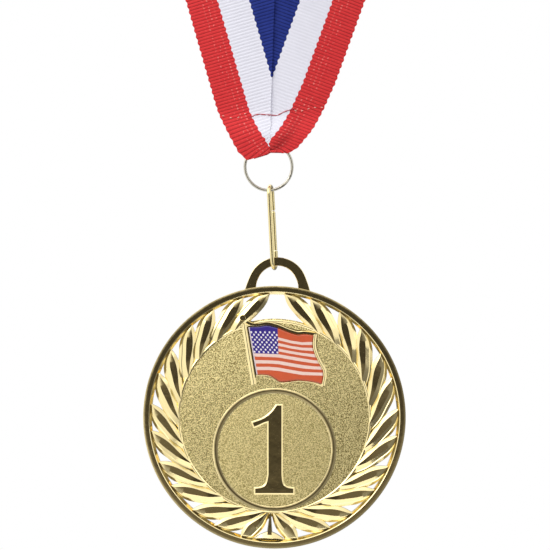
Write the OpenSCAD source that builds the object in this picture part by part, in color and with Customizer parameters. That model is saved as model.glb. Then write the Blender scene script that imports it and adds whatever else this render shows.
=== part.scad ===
/* [Medallion] */
// Diameter of the medallion over its rim
medal_d = 70; // [68:0.5:72]
// Thickness of the rim, front to back
medal_t = 3.2; // [2.8:0.1:3.6]
// Width of the flat polished rim
rim_w = 1.6; // [1.4:0.1:2]
// Diameter of the stippled field inside the wreath
field_d = 51.6; // [50:0.1:52]
// How far the field lies below the front of the rim
field_drop = 1.2; // [0.8:0.1:1.4]
// How far the raised figures stand above the field
relief_h = 0.5; // [0.4:0.1:0.9]
// Thickness of the printed flag
print_t = 0.2; // [0.1:0.05:0.3]
// Sideways lean of the hanging medallion in degrees
medal_lean = 1.2; // [0:0.1:1.5]

/* [Suspension loop] */
// Inside radius of the loop cast on top of the medallion
loop_r = 5.4; // [5.2:0.1:5.6]
// Width of the loop's bar, seen from the front
bar_w = 2.1; // [1.9:0.1:2.2]
// Depth of the loop's bar, front to back
bar_t = 1.5; // [1.3:0.1:1.6]

/* [Wire clip] */
// Diameter of the clip's wire
clip_wire = 1.05; // [0.9:0.05:1.1]
// Length of the clip over its two bends
clip_len = 23; // [22:0.5:24]
// Distance between the middles of the clip's two legs
clip_gauge = 4.6; // [4.4:0.1:5]
// Turn of the clip about its own length in degrees
clip_turn = 12; // [8:1:14]
// Sideways lean of the clip in degrees
clip_lean = 2.9; // [0:0.1:3]
// Length of the sprung gate in the clip's rear leg
gate_len = 10.6; // [9:0.2:11]
// Running gap between two linked pieces
link_gap = 0.12; // [0.1:0.01:0.15]

/* [Split ring] */
// Outside diameter of the split ring
ring_d = 13.4; // [13:0.1:13.6]
// Diameter of the ring's wire, which lies in two turns
ring_wire = 0.8; // [0.7:0.05:0.85]

/* [Neck ribbon] */
// Width of the ribbon
ribbon_w = 24.6; // [22:0.2:26]
// Cut length of the ribbon round the neck, without its sewn ends
ribbon_len = 732; // [700:2:760]
// Thickness of the woven ribbon
ribbon_t = 0.8; // [0.6:0.1:0.9]
// Angle of each strap from the middle line of the V, in degrees
strap_angle = 18; // [17:0.5:20]
// Sideways lean of the ribbon in degrees
ribbon_lean = 1.9; // [0:0.1:2]
// Height of the folded end, from the fold to the stitching
fold_h = 12.6; // [12:0.2:14]

/* [Hidden] */
$fn = 96;

// Heights are measured from the middle of the medallion, with its front facing -Y.
medal_r = medal_d / 2;
rim_r = medal_r - rim_w;
field_r = field_d / 2;
front_y = -medal_t / 2;
back_y = medal_t / 2;
field_y = front_y + field_drop;
leaf_y = front_y + 0.25;
leaf_back_y = back_y - 0.3;
merge = 0.4;

loop_z = medal_r + 0.1;
bar_r = loop_r + bar_w / 2;

gauge_r = clip_gauge / 2;
wire_r = clip_wire / 2;
// The clip hangs straight above the medallion's middle, so it touches the leaning loop beside its top.
hung_loop = loop_z * [sin(medal_lean), cos(medal_lean)];
clip_foot_z = hung_loop[1] + sqrt(loop_r * loop_r - hung_loop[0] * hung_loop[0]) - link_gap - wire_r;
clip_head_z = clip_foot_z + clip_len - clip_wire;
gate_top_z = clip_foot_z + 15.4;
gate_foot_z = gate_top_z - gate_len;
sleeve_h = 1.9;
sleeve_r = wire_r + 0.1;
leg_gap = 0.1;

ring_r = ring_d / 2 - ring_wire / 2;
// Where the leaning clip's upper bend and the ring's middle lie beside the medallion's middle
clip_head_x = -(clip_head_z - clip_foot_z) * sin(clip_lean);
ring_z = clip_foot_z + (clip_head_z - clip_foot_z) * cos(clip_lean)
         - wire_r - link_gap - ring_wire / 2 + ring_r;
clip_aside = 0.47;
ring_x = clip_head_x - clip_aside;

// The fold hangs over the top of the ring, and the ribbon leans about the fold.
fold_rise = 2.9;
fold_z = ring_z + fold_rise;
fold_x = ring_x + 0.2;
fold_gap = 1.6;
fold_foot_w = 13.8;
fold_bridge_w = 8.6;
stitch_z = fold_z + fold_h;
fold_head_w = 29;

// The ribbon lies flat on a cone whose front line hangs straight down to the V. Laid out flat, the
// cone turns the ribbon into a straight strip at distance line_d from the cone's top.
cone_sin = (90 - strap_angle) / 180;
cone_a = asin(cone_sin);
half_turn = 90 - strap_angle;
strap_meet_z = fold_z + 7.5;
cone_top = [0, 0, strap_meet_z + ribbon_len / 2 / sin(half_turn)];
line_d = ribbon_len / 2 / tan(half_turn);
stitch_r = cone_top[2] - stitch_z;
mitre_gap = 0.05;
strap_steps = 30;
cross_steps = 8;
cone_axis = [0, sin(cone_a), -cos(cone_a)];
cone_back = [0, cos(cone_a), sin(cone_a)];

mitre_h = 32;
stitch_d = 0.4;
stitch_l = 2;

// The holding point: the middle of the ribbon at the back of the neck
hold = lean_point(cone_point(0, 0, 0));

// Leaf outline: how far out between field and rim, and degrees round from the leaf's tip
LEAF = [[1.08, 0], [0.62, -2.3], [0.29, -7.4], [-0.08, -16], [-0.08, -28],
        [0.37, -22.2], [0.63, -15.5], [0.86, -10.5], [1.08, -7.3]];
leaf_count = 13;
leaf_first = 13.4;
leaf_pitch = 13.63;
leaf_stagger = 1.2;

border_r = 15.8;
border_z = -8.8;
border_w = 1.5;

// Numeral outline, anticlockwise from the left end of the foot
NUMERAL = [[-5.2, -20.3], [5.1, -20.3], [5.1, -19.4], [3, -19.2], [2, -17.8], [1.95, 3.3],
           [0.5, 3.3], [-2.5, 0.4], [-5.9, -1.8], [-5.5, -2.7], [-3.8, -1.9], [-1.6, -1],
           [-1.75, -17.8], [-2.9, -19.2], [-5.2, -19.4]];

// Flag edges, each a run of points that a smooth curve goes through
FLAG_TOP = [[-7.7, 25.7], [-4.5, 24.7], [-2, 25.1], [1.6, 23.5], [4.6, 22.2], [8, 22.5], [10.7, 22.1]];
FLAG_FLY = [[10.7, 22.1], [10.4, 19.6], [11.6, 15.8], [13.6, 12], [12.7, 8.4]];
FLAG_FOOT = [[12.7, 8.4], [8.4, 9.6], [4.6, 9.4], [2, 9.3], [-0.6, 10.8], [-4.8, 11]];
flag_border = 0.5;
pole_d = 0.7;
pole_top = [-8.5, 26.3];
pole_foot = [-5.4, 9.2];
finial_d = 1.5;

function polar(r, a) = [r * sin(a), -r * cos(a)];
function leaf_tip(k) = leaf_first + leaf_pitch * (k - 1) + (k % 2 == 0 ? leaf_stagger : 0);
function leaf_points(a) = [for (p = LEAF) polar(field_r + p[0] * (rim_r - field_r), a + p[1])];

function blend(a, b, c, d, t) =
    b + t / 2 * ((c - a) + t * ((2 * a - 5 * b + 4 * c - d) + t * (3 * b - 3 * c + d - a)));
function smooth(pts, steps) = [
    for (i = [0:len(pts) - 2]) let (a = pts[max(i - 1, 0)], d = pts[min(i + 2, len(pts) - 1)])
        for (s = [0:steps - 1]) blend(a, pts[i], pts[i + 1], d, s / steps)];
flag_edge = concat(smooth(FLAG_TOP, 4), smooth(FLAG_FLY, 4), smooth(FLAG_FOOT, 4), [[-4.8, 11]]);

function cone_point(t, w, h) =
    let (d = line_d + w, r = norm([t, d]), turn = atan2(t, d) / cone_sin,
         out = cos(turn) * cone_back + [sin(turn), 0, 0])
    cone_top + r * (cos(cone_a) * cone_axis + cone_sin * out)
    + h * (cos(cone_a) * out - cone_sin * cone_axis);
function strap_end(w) =
    min((line_d + w) * tan(half_turn) - mitre_gap / sin(strap_angle),
        sqrt(stitch_r * stitch_r - (line_d + w) * (line_d + w)));
function lean_point(p) =
    [fold_x + p[0] * cos(ribbon_lean) + (p[2] - fold_z) * sin(ribbon_lean), p[1],
     fold_z + (p[2] - fold_z) * cos(ribbon_lean) - p[0] * sin(ribbon_lean)];

// Draws a flat outline in X and Z, from depth y0 back to depth y1
module plate(y0, y1) translate([0, y1, 0]) rotate([90, 0, 0]) linear_extrude(y1 - y0) children();

// Moves everything so that the holding point is the origin
module placed() translate(-hold) children();

// Leans a piece about a point at height z and distance x to the side
module lean(a, x, z) translate([x, 0, z]) rotate([0, a, 0]) translate([0, 0, -z]) children();

// The laurel wreath: two mirrored branches of leaves, and a short stem between them
module wreath() {
    for (side = [0, 1]) mirror([side, 0, 0])
        for (k = [1:leaf_count]) polygon(leaf_points(leaf_tip(k)));
    polygon([polar(field_r - merge, -7), polar(rim_r + merge, -6),
             polar(rim_r + merge, 6), polar(field_r - merge, 7)]);
}

module loop_bar() {
    corner = bar_t / 2;
    translate([0, 0, loop_z]) rotate([90, 0, 0]) rotate_extrude(angle = 180) {
        for (side = [-1, 1]) translate([bar_r + side * (bar_w / 2 - corner), 0]) circle(corner, $fn = 32);
        translate([bar_r - bar_w / 2 + corner, -corner]) square([bar_w - 2 * corner, bar_t]);
    }
    for (side = [0, 1]) mirror([side, 0, 0]) plate(-bar_t / 2, bar_t / 2)
        polygon([[loop_r + 0.3, medal_r - 1.5], [loop_r + 0.2, loop_z + 0.4], [loop_r + bar_w - 0.3, loop_z + 1.2],
                 [loop_r + bar_w + 1.2, medal_r - 1.4], [loop_r + bar_w + 1.2, medal_r - 2.4]]);
}

module medallion() {
    color("goldenrod") placed() lean(medal_lean, 0, 0) {
        plate(front_y, back_y) difference() {
            circle(medal_r);
            circle(rim_r);
        }
        plate(field_y, back_y) circle(field_r);
        plate(leaf_y, leaf_back_y) difference() {
            wreath();
            circle(field_r - merge);
        }
        plate(field_y - relief_h / 2, field_y + merge) translate([0, border_z]) difference() {
            circle(border_r + border_w / 2);
            circle(border_r - border_w / 2);
        }
        plate(field_y - relief_h, field_y + merge) polygon(NUMERAL);
        plate(field_y - relief_h / 2, field_y + merge) difference() {
            polygon(flag_edge);
            flag_face();
        }
        flag_pole();
        loop_bar();
    }
}

module flag_pole() {
    run = pole_top - pole_foot;
    translate([pole_foot[0], field_y - 0.2, pole_foot[1]]) rotate([0, atan2(run[0], run[1]), 0])
        cylinder(h = norm(run), d = pole_d, $fn = 24);
    translate([pole_top[0], field_y - 0.2, pole_top[1]]) sphere(d = finial_d, $fn = 24);
}

// The flag's printed face: its outline shrunk towards its middle by about the border's width
module flag_face() {
    middle = [2.8, 16.6];
    polygon([for (p = flag_edge) p + (middle - p) / norm(middle - p) * flag_border * 1.2]);
}

module flag_print() {
    color("crimson") placed() lean(medal_lean, 0, 0) plate(field_y - print_t, field_y) flag_face();
}

module split_ring() {
    color("silver") placed() translate([ring_x, 0, ring_z]) rotate([90, 0, 0]) rotate_extrude() {
        for (side = [-1, 1]) translate([ring_r, side * ring_wire / 2]) circle(ring_wire / 2, $fn = 24);
        translate([ring_r - ring_wire / 4, -ring_wire / 2]) square([ring_wire / 2, ring_wire]);
    }
}

// Puts a piece drawn round the clip's own middle line into its hanging place
module on_clip() {
    placed() lean(-clip_lean, 0, clip_foot_z) rotate([0, 0, 90 - clip_turn]) children();
}

// A half-round bend about height z, turned half a circle about its own middle for the lower end
module clip_bend(z, turn) {
    translate([0, 0, z]) rotate([90, turn, 0])
        rotate_extrude(angle = 180) translate([gauge_r, 0]) circle(wire_r, $fn = 32);
}

module clip_leg(side, z0, z1) {
    translate([side * gauge_r, 0, z0]) cylinder(h = z1 - z0, r = wire_r, $fn = 32);
}

module clip_frame() {
    low_z = clip_foot_z + gauge_r;
    high_z = clip_head_z - gauge_r;
    color("khaki") on_clip() {
        clip_bend(low_z, 180);
        clip_bend(high_z, 0);
        clip_leg(-1, low_z, high_z);
        clip_leg(1, gate_top_z + leg_gap, high_z);
        clip_leg(1, low_z, gate_foot_z - leg_gap);
        translate([gauge_r, 0, gate_foot_z - leg_gap - sleeve_h]) cylinder(h = sleeve_h, r = sleeve_r, $fn = 32);
    }
}

// The gate turns about the middle of its round upper end
module clip_gate() {
    color("gold") on_clip() {
        clip_leg(1, gate_foot_z, gate_top_z - wire_r);
        translate([gauge_r, 0, gate_top_z - wire_r]) sphere(wire_r, $fn = 32);
    }
}

module on_ribbon() {
    placed() lean(ribbon_lean, fold_x, fold_z) children();
}

module neck_ribbon() {
    rows = 2 * strap_steps + 1;
    cols = cross_steps + 1;
    ws = [for (j = [0:cross_steps]) ribbon_w * (j / cross_steps - 0.5)];
    side = rows * cols;
    points = [for (h = [-1, 1]) for (i = [-strap_steps:strap_steps]) for (w = ws)
                  cone_point(i / strap_steps * strap_end(w), w, h * ribbon_t / 2)];
    inner = [for (i = [0:rows - 2]) for (j = [0:cols - 2])
                 let (a = i * cols + j) [a, a + 1, a + cols + 1, a + cols]];
    outer = [for (f = inner) [for (n = [3:-1:0]) f[n] + side]];
    long_edges = [for (i = [0:rows - 2]) each let (a = i * cols, b = a + cols - 1)
                      [[a, a + cols, a + cols + side, a + side], [b, b + side, b + cols + side, b + cols]]];
    ends = [for (j = [0:cols - 2]) each let (a = j, b = (rows - 1) * cols + j)
                [[a, a + side, a + 1 + side, a + 1], [b, b + 1, b + 1 + side, b + side]]];
    color("firebrick") on_ribbon() polyhedron(points, concat(inner, outer, long_edges, ends), convexity = 6);
}

module ribbon_fold() {
    out_y = fold_gap + ribbon_t;
    color("brown") on_ribbon() difference() {
        intersection() {
            rotate([90, 0, 90]) translate([0, 0, -fold_head_w / 2]) linear_extrude(fold_head_w) difference() {
                polygon([[-ribbon_t, stitch_z - 0.1], [-out_y, fold_z + 4.4], [-out_y, fold_z + 0.9],
                         [-out_y + 0.9, fold_z], [out_y - 0.9, fold_z], [out_y, fold_z + 0.9],
                         [out_y, fold_z + 4.4], [ribbon_t, stitch_z - 0.1]]);
                polygon([[0, fold_z + 8], [-fold_gap, fold_z + 4.2], [-fold_gap, fold_z + 1.1],
                         [-fold_gap + 0.4, fold_z + 0.7], [fold_gap - 0.4, fold_z + 0.7],
                         [fold_gap, fold_z + 1.1], [fold_gap, fold_z + 4.2]]);
            }
            plate(-out_y - 1, out_y + 1)
                polygon([[-fold_foot_w / 2, fold_z - 1], [fold_foot_w / 2, fold_z - 1],
                         [fold_foot_w / 2, fold_z], [fold_head_w / 2, stitch_z],
                         [-fold_head_w / 2, stitch_z], [-fold_foot_w / 2, fold_z]]);
        }
        for (side = [0, 1]) mirror([side, 0, 0])
            translate([fold_bridge_w / 2, -fold_gap, fold_z - 1]) cube([fold_foot_w, 2 * fold_gap, 2.4]);
    }
}

// A row of stitches along X or Z, each a short thread
module stitch_row(count, step, along_x) {
    for (n = [0:count - 1]) let (s = (n - (count - 1) / 2) * step)
        translate(along_x ? [s - stitch_l / 2, 0, 0] : [0, 0, s])
            rotate([0, 90, 0]) cylinder(h = stitch_l, d = stitch_d, $fn = 16);
}

module fold_stitches() {
    // The fold's faces slope outwards below the stitching, so the thread stands clear of them.
    face_y = ribbon_t + stitch_d / 2 + 0.2;
    color("darkred") on_ribbon() for (side = [-1, 1])
        translate([0, side * face_y, stitch_z - 0.8]) stitch_row(9, 2.9, true);
}

module mitre_stitches() {
    color("darkred") on_ribbon()
        translate([-stitch_l / 2, ribbon_t / 2 + stitch_d / 2 + 0.05, stitch_z + mitre_h / 2])
            stitch_row(10, 2.6, false);
}

medallion();
flag_print();
split_ring();
clip_frame();
clip_gate();
neck_ribbon();
ribbon_fold();
fold_stitches();
mitre_stitches();
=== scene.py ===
import math

import bmesh
import bpy
import numpy as np
from mathutils import Matrix, Vector


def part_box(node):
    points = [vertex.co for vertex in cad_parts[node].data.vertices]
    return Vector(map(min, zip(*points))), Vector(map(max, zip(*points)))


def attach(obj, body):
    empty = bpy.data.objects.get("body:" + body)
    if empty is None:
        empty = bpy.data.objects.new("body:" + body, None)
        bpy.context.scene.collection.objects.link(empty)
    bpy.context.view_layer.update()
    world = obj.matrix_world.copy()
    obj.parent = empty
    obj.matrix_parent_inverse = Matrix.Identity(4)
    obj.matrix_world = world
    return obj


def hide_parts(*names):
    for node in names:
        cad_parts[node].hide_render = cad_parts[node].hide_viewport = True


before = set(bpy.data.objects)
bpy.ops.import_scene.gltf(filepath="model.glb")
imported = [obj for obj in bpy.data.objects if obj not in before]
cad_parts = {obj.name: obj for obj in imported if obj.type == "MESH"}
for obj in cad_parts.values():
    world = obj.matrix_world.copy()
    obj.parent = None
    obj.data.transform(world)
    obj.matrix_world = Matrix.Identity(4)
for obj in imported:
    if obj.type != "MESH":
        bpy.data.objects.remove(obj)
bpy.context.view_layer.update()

# ----------------------------------------------------------------------
# The view. The medal hangs in front of a viewer who looks straight at it, level with the
# clip, so that the straps run out of the view at the top. Sizes are millimetres throughout.
# ----------------------------------------------------------------------
MM = 0.001
disc_low, disc_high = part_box("medallion")
disc_r = (disc_high.x - disc_low.x) / 2
disc_mid = Vector(((disc_low.x + disc_high.x) / 2, (disc_low.y + disc_high.y) / 2, disc_low.z + disc_r))
view_width = 147.2
view_distance = 750
view_rise = 38.0
view_aside = 0.15

camera = bpy.data.objects.new("viewer", bpy.data.cameras.new("viewer"))
camera.data.sensor_width = 36
camera.data.lens = camera.data.sensor_width * view_distance / view_width
camera.data.clip_start = 0.01
camera.location = disc_mid + Vector((view_aside, -view_distance, view_rise)) * MM
camera.rotation_euler = (math.pi / 2, 0, 0)
bpy.context.scene.collection.objects.link(camera)
bpy.context.scene.camera = camera
bpy.context.scene.view_settings.view_transform = "Standard"


# ----------------------------------------------------------------------
# The studio. White walls and softboxes stand all round, and a dark opening for the viewer lies
# in front: polished faces that look straight out show it, and tilted ones show the white.
# ----------------------------------------------------------------------
class Wire:
    """One output of a node. Arithmetic on it adds the Math nodes that work it out."""

    def __init__(self, desk, socket):
        self.desk, self.socket = desk, socket

    def maths(self, operation, *values):
        return self.desk.node("ShaderNodeMath", {"operation": operation}, dict(enumerate(values)))

    def __add__(self, other):
        return self.maths("ADD", self, other)

    def __radd__(self, other):
        return self.maths("ADD", other, self)

    def __sub__(self, other):
        return self.maths("SUBTRACT", self, other)

    def __rsub__(self, other):
        return self.maths("SUBTRACT", other, self)

    def __mul__(self, other):
        return self.maths("MULTIPLY", self, other)

    def __truediv__(self, other):
        return self.maths("DIVIDE", self, other)

    def __pow__(self, other):
        return self.maths("POWER", self, other)

    def __gt__(self, other):
        return self.maths("GREATER_THAN", self, other)

    def __lt__(self, other):
        return self.maths("LESS_THAN", self, other)

    def __abs__(self):
        return self.maths("ABSOLUTE", self)

    def least(self, other):
        return self.maths("MINIMUM", self, other)

    def most(self, other):
        return self.maths("MAXIMUM", self, other)

    def whole(self):
        return self.maths("FLOOR", self)

    def part(self):
        return self.maths("FRACT", self)

    def sine(self):
        return self.maths("SINE", self)

    def ramp(self, low, high):
        """0 below low and 1 above high, with a smooth rise between."""
        settings = {"interpolation_type": "SMOOTHSTEP"}
        return self.desk.node("ShaderNodeMapRange", settings, {0: self, 1: low, 2: high, 3: 0.0, 4: 1.0})


class Desk:
    """A node tree that is being filled."""

    def __init__(self, tree):
        self.tree = tree
        tree.nodes.clear()

    def node(self, kind, settings=None, sockets=None, output=0):
        made = self.tree.nodes.new(kind)
        for key, value in (settings or {}).items():
            setattr(made, key, value)
        for key, value in (sockets or {}).items():
            if isinstance(value, Wire):
                self.tree.links.new(value.socket, made.inputs[key])
            else:
                made.inputs[key].default_value = value
        return Wire(self, made.outputs[output]) if len(made.outputs) else made

    def blend(self, factor, low, high):
        """The colour low where factor is 0, and high where it is 1."""
        return self.node("ShaderNodeMix", {"data_type": "RGBA"}, {0: factor, 6: low, 7: high}, output=2)

    def split(self, vector):
        """The three numbers of a vector."""
        first = self.node("ShaderNodeSeparateXYZ", None, {0: vector})
        node = first.socket.node
        return [Wire(self, node.outputs[axis]) for axis in range(3)]

    def noise(self, vector, scale, detail=2.0):
        return self.node("ShaderNodeTexNoise", None, {"Vector": vector, "Scale": scale, "Detail": detail})

    def here(self):
        """The place on an object, in metres."""
        return self.node("ShaderNodeTexCoord", output="Object")

    def bump(self, strength, depth, height):
        """A bump whose full height is depth millimetres."""
        return self.node("ShaderNodeBump", None, {"Strength": strength, "Distance": depth * MM, "Height": height})

    def shaded(self, colour, shade):
        """A colour multiplied by another."""
        settings = {"data_type": "RGBA", "blend_type": "MULTIPLY"}
        return self.node("ShaderNodeMix", settings, {0: 1.0, 6: colour, 7: shade}, 2)

    def surface(self, colour, roughness, sockets=None):
        sockets = {"Base Color": colour, "Roughness": roughness, **(sockets or {})}
        return self.node("ShaderNodeBsdfPrincipled", None, sockets)


def build_studio():
    world = bpy.data.worlds.new("studio")
    world.use_nodes = True
    bpy.context.scene.world = world
    desk = Desk(world.node_tree)
    x, y, z = desk.split(desk.node("ShaderNodeTexCoord", output="Generated"))
    opening = (0 - y).ramp(0.84, 0.97)
    overhead = z.ramp(0.2, 0.6)
    window = (0 - x).ramp(0.3, 0.65)
    wall = x.ramp(0.8, 0.95)
    shade = x.ramp(-0.5, 0.6)
    light = 0.58 - shade * 0.30 + overhead * (1.45 - shade * 0.6) + window * 0.7 + wall * 0.9
    light = light * (1 - (0 - z).ramp(0.15, 0.8) * (0.1 + shade * 0.3))
    gloom = 0.055 + (0 - z).ramp(0.04, 0.14) * 0.11
    seen = desk.node("ShaderNodeLightPath", output="Is Camera Ray")
    tint = desk.blend(opening, (1.0, 0.985, 0.97, 1), (1.0, 0.88, 0.70, 1))
    inside = desk.node("ShaderNodeBackground", None, {
        "Color": tint, "Strength": light * (1 - opening) + opening * gloom})
    backdrop = desk.node("ShaderNodeBackground", None, {"Color": (1, 1, 1, 1)})
    shown = desk.node("ShaderNodeMixShader", None, {0: seen, 1: inside, 2: backdrop})
    desk.node("ShaderNodeOutputWorld", None, {"Surface": shown})


def add_softbox(name, place, size, power):
    lamp = bpy.data.objects.new(name, bpy.data.lights.new(name, "AREA"))
    lamp.data.shape = "RECTANGLE"
    lamp.data.size, lamp.data.size_y = size
    lamp.data.energy = power
    lamp.location = disc_mid + Vector(place)
    lamp.rotation_euler = (-Vector(place)).to_track_quat("-Z", "Y").to_euler()
    bpy.context.scene.collection.objects.link(lamp)


build_studio()
add_softbox("softbox_left", (-0.75, -0.75, 0.65), (0.5, 0.7), 1.6)
add_softbox("softbox_right", (0.8, -0.6, 0.35), (0.4, 0.7), 0.8)


# ----------------------------------------------------------------------
# The floor, pale and matt, a little way below the hanging medal.
# ----------------------------------------------------------------------
def as_mesh(name, points, faces, place=Matrix.Identity(4)):
    """A mesh object from points in millimetres, put into the frame by the matrix place."""
    mesh = bpy.data.meshes.new(name)
    mesh.from_pydata([tuple(p) for p in np.asarray(points, float) * MM], [], [tuple(f) for f in faces])
    mesh.transform(place)
    made = bpy.data.objects.new(name, mesh)
    bpy.context.scene.collection.objects.link(made)
    return made


def finish(name, build):
    """A material whose nodes are laid out by the function build."""
    made = bpy.data.materials.new(name)
    made.use_nodes = True
    desk = Desk(made.node_tree)
    surface = build(desk)
    desk.node("ShaderNodeOutputMaterial", None, {"Surface": surface})
    return made


def floor_paint(desk):
    shade = desk.blend(desk.noise(desk.here(), 6.0), (0.86, 0.86, 0.86, 1), (0.9, 0.9, 0.9, 1))
    return desk.surface(shade, 0.8)


floor_drop = 120
floor_r = 150
floor_sides = 96
floor_turns = np.linspace(0, 2 * math.pi, floor_sides, endpoint=False)
floor_ring = np.column_stack([floor_r * np.cos(floor_turns), floor_r * np.sin(floor_turns), 0 * floor_turns])
floor_place = Matrix.Translation((disc_mid.x, disc_mid.y, disc_low.z - floor_drop * MM))
floor = as_mesh("floor", floor_ring, [range(floor_sides)], floor_place)
floor.data.materials.append(finish("floor_paint", floor_paint))


# ----------------------------------------------------------------------
# The medallion. A zinc casting, gilt all over: a polished rim with a loop on top, a recessed
# stippled field, and figures raised from the field. It hangs a degree out of true.
# ----------------------------------------------------------------------
medal_lean = math.radians(1.2)
medal_place = Matrix.Translation(disc_mid) @ Matrix.Rotation(medal_lean, 4, "Y")
rim_front = -1.6
rim_back = 1.6
rim_flat_in = 33.6
wall_foot_r = 32.8
field_r = 25.9
field_front = -0.4
smooth_angle = math.radians(20)
# The bead round the numeral
bead_mid = (0, -8.8)
bead_r = 15.85
bead_half = 0.7
bead_crest = 0.1
bead_stand = 0.215


def turned(profile, steps, middle=(0, 0)):
    """A shape turned about the depth axis through middle, from a closed loop of (radius, depth)
    points. Points on the axis itself become single poles."""
    rings = []
    points = []
    faces = []
    for radius, depth in profile:
        if radius == 0:
            rings.append([len(points)] * steps)
            points.append((middle[0], depth, middle[1]))
        else:
            rings.append(list(range(len(points), len(points) + steps)))
            for n in range(steps):
                a = 2 * math.pi * n / steps
                points.append((middle[0] + radius * math.cos(a), depth, middle[1] + radius * math.sin(a)))
    for one, two in zip(rings, rings[1:] + rings[:1]):
        for n in range(steps):
            m = (n + 1) % steps
            corners = list(dict.fromkeys((one[n], one[m], two[m], two[n])))
            if len(corners) > 2:
                faces.append(corners)
    return points, faces


def closed_loft(sections):
    """A closed shell through equal rings of points, with its two ends covered."""
    size = len(sections[0])
    points = [p for section in sections for p in section]
    faces = [list(range(size)), list(range(len(points) - size, len(points)))]
    for k in range(len(sections) - 1):
        for n in range(size):
            m = (n + 1) % size
            faces.append((k * size + n, k * size + m, (k + 1) * size + m, (k + 1) * size + n))
    return points, faces


def raised(outline, front, foot, bevel):
    """A figure standing on the field: a flat top inside bevelled sides, from an outline in X, Z."""
    work = bmesh.new()
    face = work.faces.new([work.verts.new((x, foot, z)) for x, z in outline])
    bmesh.ops.recalc_face_normals(work, faces=[face])
    if face.normal.y > 0:
        face.normal_flip()
    bmesh.ops.inset_region(work, faces=[face], thickness=bevel, depth=0, use_even_offset=True, use_boundary=True)
    for vert in face.verts:
        vert.co.y = front
    points = [tuple(v.co) for v in work.verts]
    work.verts.index_update()
    faces = [[v.index for v in f.verts] for f in work.faces]
    work.free()
    return points, faces


def through(points, count):
    """A smooth curve through the points, sampled evenly from the first to the last."""
    pts = np.asarray(points, float)
    pts = np.vstack([2 * pts[0] - pts[1], pts, 2 * pts[-1] - pts[-2]])
    made = []
    for s in np.linspace(0, len(points) - 1, count):
        n = min(int(s), len(points) - 2)
        t = s - n
        a, b, c, d = pts[n:n + 4]
        made.append(b + t / 2 * ((c - a) + t * ((2 * a - 5 * b + 4 * c - d) + t * (3 * b - 3 * c + d - a))))
    return np.array(made)


def rod(path, radii, sides):
    """A round rod along a path, with a radius at each of its points and closed ends."""
    pts = np.asarray(path, float)
    run = np.gradient(pts, axis=0)
    run /= np.linalg.norm(run, axis=1)[:, None]
    side = np.cross(run, (0.05, 1, 0.02))
    side /= np.linalg.norm(side, axis=1)[:, None]
    front = np.cross(side, run)
    turns = [2 * math.pi * k / sides for k in range(sides)]
    sections = []
    for p, s, f, radius in zip(pts, side, front, radii):
        sections.append([tuple(p + radius * (math.cos(a) * s + math.sin(a) * f)) for a in turns])
    return closed_loft(sections)


def ridge(route, half, stand, crest=0.12, count=48):
    """A ridge with two flat slopes and a flat crest, standing on the field along points in X, Z."""
    line = through(route, count)
    run = np.gradient(line, axis=0)
    side = np.column_stack([run[:, 1], -run[:, 0]]) / np.linalg.norm(run, axis=1)[:, None]
    sections = []
    for p, n in zip(line, side):
        sections.append([(p[0] + n[0] * half * k, depth, p[1] + n[1] * half * k) for k, depth in (
            (-1, field_front), (-crest, field_front - stand), (crest, field_front - stand), (1, field_front),
            (1, 0.0), (-1, 0.0))])
    return closed_loft(sections)


def upright(shape):
    """The figures stand straight on a medallion whose loop is a degree off their line."""
    turn = Matrix.Rotation(-medal_lean, 3, "Y")
    return [tuple(turn @ Vector(p)) for p in shape[0]], shape[1]


def one_shell(name, shells, place, materials):
    """One object of several shells, given as (shape, material number), welded and facing out."""
    points, faces, slots = [], [], []
    for (shell_points, shell_faces), slot in shells:
        faces += [[n + len(points) for n in face] for face in shell_faces]
        slots += [slot] * len(shell_faces)
        points += list(shell_points)
    made = as_mesh(name, points, faces, place)
    for material in materials:
        made.data.materials.append(material)
    made.data.polygons.foreach_set("material_index", slots)
    work = bmesh.new()
    work.from_mesh(made.data)
    bmesh.ops.remove_doubles(work, verts=work.verts, dist=0.001 * MM)
    bmesh.ops.dissolve_degenerate(work, edges=work.edges, dist=0.001 * MM)
    bmesh.ops.recalc_face_normals(work, faces=work.faces)
    work.to_mesh(made.data)
    work.free()
    made.data.shade_smooth()
    made.data.set_sharp_from_angle(angle=smooth_angle)
    return made


def polished_gilt(desk):
    place = desk.here()
    cloud = desk.noise(place, 260.0)
    scuff = desk.noise(place, 1300.0, 3.0)
    colour = desk.blend(cloud, (0.79, 0.66, 0.33, 1), (0.88, 0.75, 0.41, 1))
    bump = desk.bump(0.6, 0.12, cloud * 0.8 + scuff * 0.12)
    return desk.surface(colour, 0.07 + scuff * 0.12, {"Metallic": 1.0, "Normal": bump})


def stippled_gilt(desk):
    """Fine pits with painted shade, dark between bright grains, and painted light, paler inside the bead."""
    place = desk.here()
    x, _, z = desk.split(place)
    from_bead = ((x - disc_mid.x) ** 2.0 + (z - disc_mid.z - bead_mid[1] * MM) ** 2.0) ** 0.5
    # Inside the bead the pit colour is painted paler: painted light.
    inside = from_bead.ramp((bead_r - 0.45) * MM, (bead_r - 1.25) * MM)
    pits = desk.noise(place, 4700.0, 1.0) * 0.62 + desk.noise(place, 10000.0, 1.0) * 0.38
    # The dark colour of the pits is painted shade in the hollows.
    dark = desk.blend(inside, (0.22, 0.165, 0.045, 1), (0.42, 0.33, 0.11, 1))
    colour = desk.blend(pits.ramp(0.44, 0.54), dark, (1.0, 0.87, 0.44, 1))
    bump = desk.bump(1.0, 0.14, pits)
    return desk.surface(colour, 0.34 + pits * 0.2, {"Metallic": 1.0, "Normal": bump})


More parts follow.
